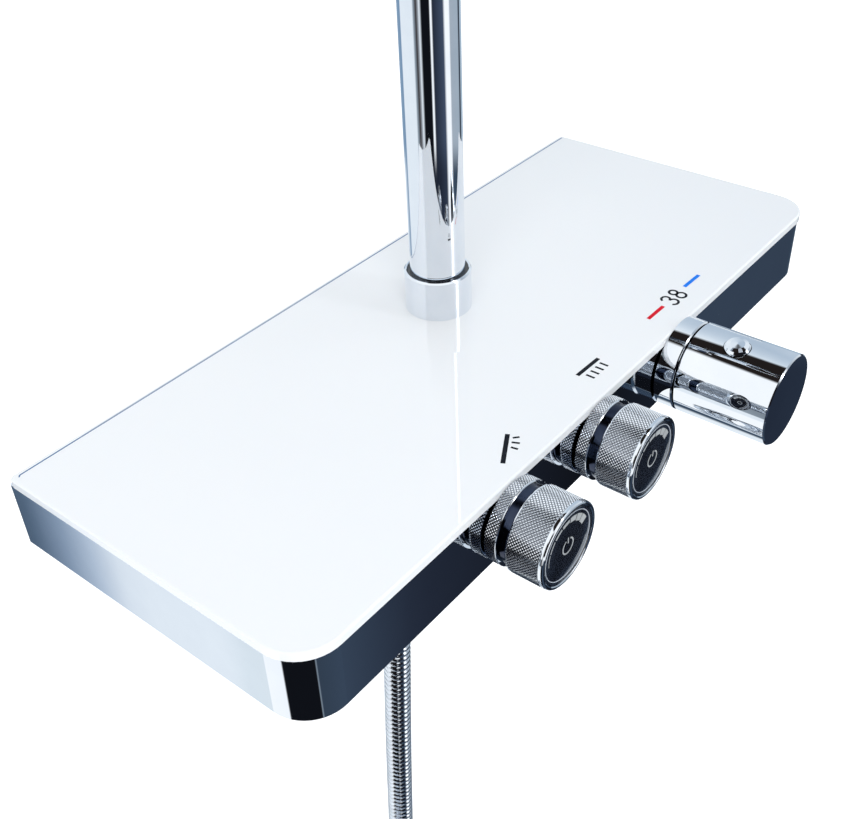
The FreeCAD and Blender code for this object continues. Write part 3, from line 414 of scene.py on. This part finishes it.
# the strap round the turns at the top of the coil
def strap():
    bm = bmesh.new()
    ys = [HY + (HAND_Y - HY) * t for t in (0.375, 0.875)]
    zc = CZ + CR
    r = 0.0078
    outline = []
    for k in range(13):
        a = math.pi * k / 12 - math.pi / 2
        outline.append((ys[0] + r * math.cos(a), zc + r * math.sin(a)))
    for k in range(13):
        a = math.pi * k / 12 + math.pi / 2
        outline.append((ys[1] + r * math.cos(a), zc + r * math.sin(a)))
    m = len(outline)
    mid = (sum(p[0] for p in outline) / m, sum(p[1] for p in outline) / m)

    def pushed(p, by):
        yc = min(max(p[0], ys[1]), ys[0])
        d = Vector((p[0] - yc, p[1] - zc)).normalized()
        return (p[0] + d.x * by, p[1] + d.y * by)
    loops = []
    for x, by in ((-0.0075, 0.0), (-0.0075, 0.0011), (-0.0065, 0.0016), (0.0065, 0.0016), (0.0075, 0.0011), (0.0075, 0.0)):
        loops.append([bm.verts.new((CX + x, *pushed(p, by))) for p in outline])
    for i in range(len(loops)):
        a, b = loops[i], loops[(i + 1) % len(loops)]
        for k in range(m):
            q = (k + 1) % m
            bm.faces.new((a[k], a[q], b[q], b[k]))
    # the buckle where the strap's end is tucked in
    bmesh.ops.create_cube(bm, size=1.0, matrix=Matrix.Translation((CX, sum(ys) / 2, zc + r + 0.0022)) @ Matrix.Diagonal((0.018, 0.011, 0.0032, 1)))
    obj = finish_mesh("hose_strap", bm, STRAP, "base", smooth=35)
    bev = obj.modifiers.new("edges", "BEVEL")
    bev.width = 0.0004
    bev.segments = 2
    bev.limit_method = "ANGLE"
    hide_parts("hose_tie")
    return obj


tie = strap()

# ------------------------------------------------------------------ knobs
for tag, x in (("hand", -0.0788), ("rain", -0.0166)):
    knurled(tag + "_sleeve_knurled", x, tag + "_rotor",
            before=[(3.2, 4.6), (15.2, 4.6), (15.2, 0.8), (17.3, 0.8), (17.55, 0.88)],
            after=[(17.75, 5.75), (17.95, 5.8), (18.0, 5.95), (17.95, 6.2), (17.7, 6.4), (16.9, 6.4), (3.2, 6.4)],
            radius=18.0, start=1.0, stop=5.6, node=tag + "_sleeve")
    knurled(tag + "_cap_knurled", x, tag + "_button",
            before=[(3.1, 25.1), (3.1, 22.0), (16.95, 22.0), (16.95, 10.4), (17.8, 10.4), (18.1, 10.55), (18.2, 10.75), (18.1, 10.95), (17.85, 11.0)],
            after=[(17.85, 25.0), (18.15, 25.05), (18.3, 25.25), (18.3, 25.9), (18.2, 26.4), (17.9, 26.8), (17.4, 27.0), (16.9, 26.95), (16.5, 26.7), (16.4, 26.4), (16.4, 25.1)],
            radius=18.3, start=11.15, stop=24.9, node=tag + "_cap")
    # black face with a bevelled border
    bm = bmesh.new()
    lathe(bm, [(0.02, 25.1), (16.3, 25.1), (16.3, 26.45), (16.15, 26.62), (15.9, 26.68), (15.0, 26.35), (14.75, 26.3), (14.6, 26.36), (9.0, 26.4), (0.02, 26.4)],
          (x, FASCIA_Y, 0), FRONT, 128)
    face = finish_mesh(tag + "_face_disc", bm, BLACK_GLOSS, tag + "_button", smooth=30)
    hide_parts(tag + "_face")
    bm = bmesh.new()
    lathe(bm, [(14.72, 26.25), (15.02, 26.25), (15.02, 26.42), (14.95, 26.48), (14.8, 26.48), (14.72, 26.42)], (x, FASCIA_Y, 0), FRONT, 128)
    finish_mesh(tag + "_face_line", bm, LINE_PRINT, tag + "_button", smooth=40)

    def on_face(pts, z=26.38):
        return [(x + u * MM, FASCIA_Y - z * MM, w * MM) for u, w in pts]

    marks = []
    # flow scale, thin at the left, thick at the right
    spans = [(26, 44, 9.9, 13.3), (46.5, 64.5, 10.3, 13.3), (67, 86, 10.9, 13.2), (89, 109, 11.6, 13.1), (112, 133, 12.1, 13.0), (136, 158, 12.4, 12.95), (161, 186, 12.6, 12.9)]
    for a0, a1, r0, r1 in spans:
        marks.append(on_face(arc_band(r0, r1, a0, a1, 10)))
    # power symbol: an open ring with a bar at the top
    marks.append(on_face(arc_band(3.1, 3.75, 90 + 24, 90 + 336, 44)))
    marks.append(on_face([(-0.32, 1.3), (0.32, 1.3), (0.32, 4.1), (-0.32, 4.1)]))
    flat_print_and_shade(tag + "_face_marks", marks, GREY_PRINT, tag + "_button", (0, -0.00007, 0))

# ------------------------------------------------------------------ marks on the glass
TOP = 0.0192


def stroke(a, b, width):
    """A bar between two points on the glass, in mm, with square ends."""
    a, b = Vector(a), Vector(b)
    d = (b - a).normalized()
    n = Vector((-d.y, d.x)) * width / 2
    return [(p.x * MM, p.y * MM, TOP - 0.00001) for p in (a - n, b - n, b + n, a + n)]


def tapered(a, b, w0, w1):
    a, b = Vector(a), Vector(b)
    d = (b - a).normalized()
    n = Vector((-d.y, d.x))
    return [(p.x * MM, p.y * MM, TOP - 0.00001) for p in (a - n * w0 / 2, b - n * w1 / 2, b + n * w1 / 2, a + n * w0 / 2)]


LIFT = (0, 0, 0.00006)
Y = -2.0
flat_print_and_shade("hand_pictogram", [
    stroke((-57.7, -138.3 + Y), (-73.2, -147.1 + Y), 1.9),
    stroke((-58.4, -141.3 + Y), (-56.4, -143.1 + Y), 1.0),
    stroke((-60.9, -142.5 + Y), (-59.5, -145.4 + Y), 1.0),
    stroke((-63.5, -144.0 + Y), (-62.9, -146.9 + Y), 1.0),
], BLACK_PRINT, "base", LIFT)
flat_print_and_shade("rain_pictogram", [
    stroke((-8.6, -139.1 + Y), (7.1, -139.6 + Y), 1.8),
] + [stroke((u, -141.8 + Y), (u, -145.9 + Y), 1.05) for u in (4.65, 1.1, -2.5, -6.05)], BLACK_PRINT, "base", LIFT)
flat_print_and_shade("hot_dash", [stroke((46.3, -141.3 + Y), (59.5, -141.5 + Y), 1.8)], RED_PRINT, "base", LIFT)
flat_print_and_shade("cold_dash", [stroke((80.0, -141.1 + Y), (93.3, -141.5 + Y), 1.8)], BLUE_PRINT, "base", LIFT)


def ring_strip(centre, rx, ry, a0, a1, width, steps=28):
    """An elliptical stroke on the glass, in mm."""
    out = [(centre[0] + (rx + width / 2) * math.cos(math.radians(a0 + (a1 - a0) * k / steps)),
            centre[1] + (ry + width / 2) * math.sin(math.radians(a0 + (a1 - a0) * k / steps))) for k in range(steps + 1)]
    inn = [(centre[0] + (rx - width / 2) * math.cos(math.radians(a1 + (a0 - a1) * k / steps)),
            centre[1] + (ry - width / 2) * math.sin(math.radians(a1 + (a0 - a1) * k / steps))) for k in range(steps + 1)]
    return [(u * MM, v * MM, TOP - 0.00001) for u, v in out + inn]


cy = -141.4 + Y
three = [ring_strip((65.5, cy + 2.0), 2.1, 1.95, -90, 165, 1.15), ring_strip((65.5, cy - 2.1), 2.3, 2.15, -165, 90, 1.15)]
eight_up, eight_low = (72.6, cy + 2.0), (72.6, cy - 2.15)
eight = [ring_strip(eight_up, 1.85, 1.95, 0, 180, 1.15), ring_strip(eight_up, 1.85, 1.95, 180, 360, 1.15),
         ring_strip(eight_low, 2.25, 2.2, 0, 180, 1.15), ring_strip(eight_low, 2.25, 2.2, 180, 360, 1.15)]
flat_print_and_shade("temperature_numeral", three + eight, BLACK_PRINT, "base", LIFT)

# painted shade and reflection: a steel-blue line just inside the ground back edge of the glass stands in for the dark
# shading seen in that edge
EDGE_SHADE = plastic("painted_edge_shade", (0.020, 0.105, 0.27), (0.035, 0.14, 0.33), 0.4, grain=0.0, gloss=0.15)
back_y, turn_r = -4.1, 1.6
edge = [(-188.9 + turn_r - turn_r * math.cos(math.radians(a)), back_y - turn_r + turn_r * math.sin(math.radians(a))) for a in (20, 45, 70, 90)] + [(189.2, back_y)]
inner = [(-188.9 + turn_r - (turn_r - 0.55) * math.cos(math.radians(a)), back_y - turn_r + (turn_r - 0.55) * math.sin(math.radians(a))) for a in (20, 45, 70, 90)] + [(189.2, back_y - 0.55)]
flat_print_and_shade("glass_back_edge_shade", [[(u * MM, v * MM, TOP - 0.00001) for u, v in (edge[k], edge[k + 1], inner[k + 1], inner[k])] for k in range(len(edge) - 1)],
           EDGE_SHADE, "base", LIFT)

# ------------------------------------------------------------------ stage
floor_z = cad_box[0][2] - 0.02
bm = bmesh.new()
bmesh.ops.create_grid(bm, x_segments=1, y_segments=1, size=14.0, matrix=Matrix.Translation((0, 0, floor_z)))
fme = bpy.data.meshes.new("floor")
bm.to_mesh(fme)
bm.free()
floor = bpy.data.objects.new("floor", fme)
scene.collection.objects.link(floor)
fm, fnt, fp = material("pale_floor")
n1 = noise(fnt, 1.5, 3.0)
link(fnt, tint(fnt, n1, (0.90, 0.905, 0.91), (0.94, 0.945, 0.95)), "Color", fp, "Base Color")
fp.inputs["Roughness"].default_value = 0.9
fp.inputs["Emission Color"].default_value = (1, 1, 1, 1)
fp.inputs["Emission Strength"].default_value = 0.5
fme.materials.append(fm)
floor.visible_glossy = False


# studio surroundings: white walls above and to the left, a dark room in front below, a few bright strips
def surroundings():
    w = bpy.data.worlds.new("studio")
    w.use_nodes = True
    nt = w.node_tree
    bg = nt.nodes["Background"]
    tc = nt.nodes.new("ShaderNodeTexCoord")
    sep = nt.nodes.new("ShaderNodeSeparateXYZ")
    link(nt, tc, "Generated", sep, "Vector")

    def maths(op, a, b=None):
        n = nt.nodes.new("ShaderNodeMath")
        n.operation = op
        for i, v in enumerate((a, b)):
            if v is None:
                continue
            if isinstance(v, (int, float)):
                n.inputs[i].default_value = v
            else:
                nt.links.new(v, n.inputs[i])
        return n.outputs[0]
    # 0 at the back, 0.25 left, 0.5 front, 0.75 right
    az = maths("ADD", maths("DIVIDE", maths("ARCTAN2", sep.outputs["X"], maths("MULTIPLY", sep.outputs["Y"], -1.0)), 2 * math.pi), 0.5)

    def ramp(stops):
        cr = nt.nodes.new("ShaderNodeValToRGB")
        els = cr.color_ramp.elements
        while len(els) < len(stops):
            els.new(0.5)
        for e, (pos, col) in zip(els, stops):
            e.position = pos
            e.color = (*col, 1)
        nt.links.new(az, cr.inputs["Fac"])
        return cr.outputs["Color"]

    def over(fac, under, top):
        mx = nt.nodes.new("ShaderNodeMix")
        mx.data_type = "RGBA"
        nt.links.new(fac, mx.inputs["Factor"])
        for i, v in ((6, under), (7, top)):
            if isinstance(v, tuple):
                mx.inputs[i].default_value = (*v, 1)
            else:
                nt.links.new(v, mx.inputs[i])
        return mx.outputs[2]

    def above(lo, hi):
        mr = nt.nodes.new("ShaderNodeMapRange")
        mr.interpolation_type = "SMOOTHSTEP"
        mr.inputs["From Min"].default_value = lo
        mr.inputs["From Max"].default_value = hi
        nt.links.new(sep.outputs["Z"], mr.inputs["Value"])
        return mr.outputs["Result"]

    white, pale = (1.10, 1.12, 1.14), (0.90, 0.96, 1.01)
    slate, navy, ink = (0.05, 0.08, 0.12), (0.020, 0.027, 0.046), (0.006, 0.007, 0.010)
    far = (0.20, 0.32, 0.48)
    low = ramp([(0.0, slate), (0.064, slate), (0.068, (0.15, 0.22, 0.32)), (0.073, (0.42, 0.52, 0.66)), (0.079, pale),
                (0.095, pale), (0.100, (0.74, 0.83, 0.88)), (0.106, white), (0.228, white), (0.235, ink), (0.434, ink),
                (0.440, (0.30, 0.36, 0.42)), (0.446, (0.040, 0.060, 0.090)), (0.615, (0.048, 0.072, 0.112)), (0.634, navy),
                (0.668, ink), (0.70, (0.020, 0.029, 0.050)), (0.75, slate), (0.79, pale), (0.92, pale), (1.0, slate)])
    brim = ramp([(0.0, far), (0.012, pale), (0.225, pale), (0.24, ink), (0.43, navy), (0.50, (0.035, 0.048, 0.080)), (0.522, white),
                 (0.568, white), (0.582, slate), (0.70, (0.040, 0.058, 0.090)), (0.75, slate), (0.79, pale), (0.92, pale), (1.0, far)])
    mid = ramp([(0.0, far), (0.012, pale), (0.186, pale), (0.198, (0.34, 0.40, 0.46)), (0.226, (0.030, 0.020, 0.018)),
                (0.246, (0.30, 0.32, 0.35)), (0.262, pale), (0.282, ink), (0.362, ink), (0.371, white), (0.381, white),
                (0.392, navy), (0.50, (0.06, 0.085, 0.14)), (0.522, white), (0.568, white), (0.582, (0.42, 0.48, 0.55)),
                (0.70, (0.40, 0.48, 0.56)), (0.722, navy), (0.742, navy), (0.756, (0.45, 0.56, 0.66)), (1.0, far)])
    front = ramp([(0.0, pale), (0.19, white), (0.225, white), (0.24, (0.012, 0.009, 0.008)), (0.49, (0.010, 0.011, 0.016)), (0.51, (0.16, 0.18, 0.21)),
                  (0.525, white), (0.575, white), (0.60, (0.40, 0.46, 0.53)), (0.74, pale), (0.80, (0.50, 0.60, 0.71)),
                  (0.85, (0.80, 0.88, 0.95)), (0.90, (0.98, 1.02, 1.05)), (1.0, pale)])
    high = ramp([(0.0, pale), (0.14, white), (0.45, white), (0.60, pale), (0.74, pale), (0.80, (0.50, 0.60, 0.71)),
                 (0.85, (0.80, 0.88, 0.95)), (0.90, (0.98, 1.02, 1.05)), (1.0, pale)])
    sheen = over(above(-0.56, -0.53), low, brim)
    sheen = over(above(-0.43, -0.40), sheen, mid)
    sheen = over(above(-0.16, -0.08), sheen, front)
    sheen = over(above(0.50, 0.62), sheen, high)
    sheen = over(above(0.87, 0.91), sheen, (0.018, 0.014, 0.013))
    # a tall bright window at the front right
    pane = ramp([(0.0, (0, 0, 0)), (0.534, (0, 0, 0)), (0.538, (1, 1, 1)), (0.556, (1, 1, 1)), (0.560, (0, 0, 0)), (1.0, (0, 0, 0))])
    pane = maths("MULTIPLY", pane, maths("MULTIPLY", above(0.10, 0.16), maths("SUBTRACT", 1.0, above(0.66, 0.72))))
    sheen = over(pane, sheen, (7.0, 7.2, 7.4))
    lp = nt.nodes.new("ShaderNodeLightPath")
    lit = over(lp.outputs["Is Diffuse Ray"], sheen, (0.61, 0.635, 0.665))
    seen = over(lp.outputs["Is Camera Ray"], lit, (0.97, 0.975, 0.98))
    nt.links.new(seen, bg.inputs["Color"])
    bg.inputs["Strength"].default_value = 1.0
    scene.world = w


surroundings()


def area(name, at, towards, size, power, colour=(1, 1, 1)):
    d = bpy.data.lights.new(name, "AREA")
    d.shape = "RECTANGLE"
    d.size, d.size_y = size
    d.energy = power
    d.color = colour
    o = bpy.data.objects.new(name, d)
    scene.collection.objects.link(o)
    o.location = at
    o.rotation_euler = (Vector(towards) - Vector(at)).to_track_quat("-Z", "Y").to_euler()
    return o


key = area("key", (-0.9, -0.8, 1.35), (0, -0.1, 0), (1.2, 1.2), 12.5, (1.0, 0.985, 0.97))
fill = area("fill", (1.6, -1.4, 1.2), (0, -0.1, 0.1), (1.4, 1.8), 4.0, (0.93, 0.96, 1.0))
for l in (key, fill):
    l.visible_glossy = False
